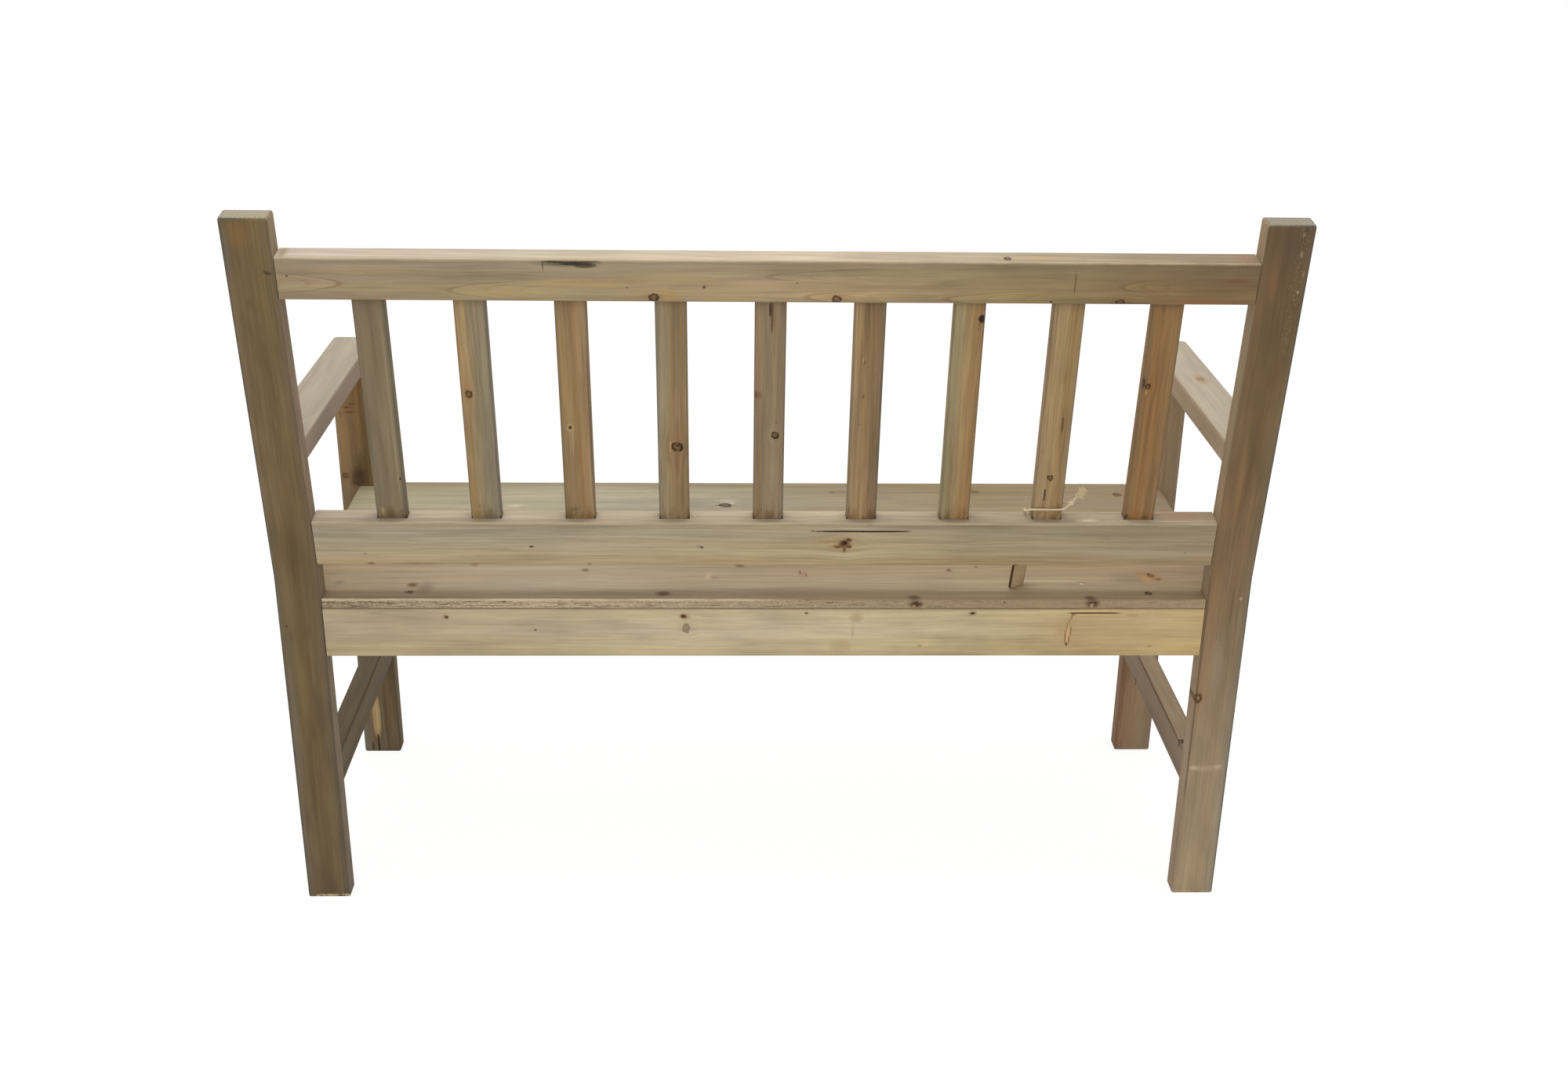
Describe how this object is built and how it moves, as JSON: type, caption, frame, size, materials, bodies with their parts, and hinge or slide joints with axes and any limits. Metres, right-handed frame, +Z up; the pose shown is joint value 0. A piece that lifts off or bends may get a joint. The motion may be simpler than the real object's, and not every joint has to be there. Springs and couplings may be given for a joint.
{
  "type": "garden bench",
  "caption": "Two-seat slatted garden bench in washed softwood, with raked back, flat arms, boarded seat and side stretchers; a blank tag hangs on a slat.",
  "frame": {"origin": "on the floor, under the middle of the bench's overall box", "axes": "+Z up, +X along the bench towards the sitter's left, a sitter faces -Y"},
  "size_m": [1.2, 0.4882, 0.9196],
  "materials": {
    "post_wood": "matt, washed grey-brown",
    "leg_wood": "matt, washed grey-brown",
    "arm_wood": "matt, bleached",
    "under_wood": "matt, sawn",
    "rail_wood": "matt, washed",
    "apron_wood": "matt, pale",
    "seat_wood": "matt, washed",
    "slat_wood": "matt, grey-olive to orange-brown",
    "zinc_steel": "zinc plated",
    "tag_card": "matt card, blank",
    "twine": "twisted natural fibre"
  },
  "bodies": {
    "root": {"rear_post_left": "post_wood", "front_leg_left": "leg_wood", "arm_left": "arm_wood", "seat_side_rail_left": "under_wood", "side_stretcher_left": "leg_wood", "rear_post_right": "post_wood", "front_leg_right": "leg_wood", "arm_right": "arm_wood", "seat_side_rail_right": "under_wood", "side_stretcher_right": "leg_wood", "back_top_rail": "rail_wood", "back_lower_rail": "rail_wood", "rear_apron": "apron_wood", "front_apron": "apron_wood", "seat_bearer": "under_wood", "seat_board_1": "seat_wood", "seat_board_2": "seat_wood", "seat_board_3": "seat_wood", "back_slat_1": "slat_wood", "back_slat_2": "slat_wood", "back_slat_3": "slat_wood", "back_slat_4": "slat_wood", "back_slat_5": "slat_wood", "back_slat_6": "slat_wood", "back_slat_7": "slat_wood", "back_slat_8": "slat_wood", "back_slat_9": "slat_wood", "frame_screw_top_left": "zinc_steel", "frame_screw_top_right": "zinc_steel", "frame_screw_lower_left": "zinc_steel", "frame_screw_lower_right": "zinc_steel", "frame_screw_rear_left": "zinc_steel", "frame_screw_rear_right": "zinc_steel", "frame_screw_front_left": "zinc_steel", "frame_screw_front_right": "zinc_steel", "seat_screw_1_left": "zinc_steel", "seat_screw_1_middle": "zinc_steel", "seat_screw_1_right": "zinc_steel", "seat_screw_2_left": "zinc_steel", "seat_screw_2_middle": "zinc_steel", "seat_screw_2_right": "zinc_steel", "seat_screw_3_left": "zinc_steel", "seat_screw_3_middle": "zinc_steel", "seat_screw_3_right": "zinc_steel", "swing_tag": "tag_card", "tie_twine": "twine"}
  },
  "joints": []
}
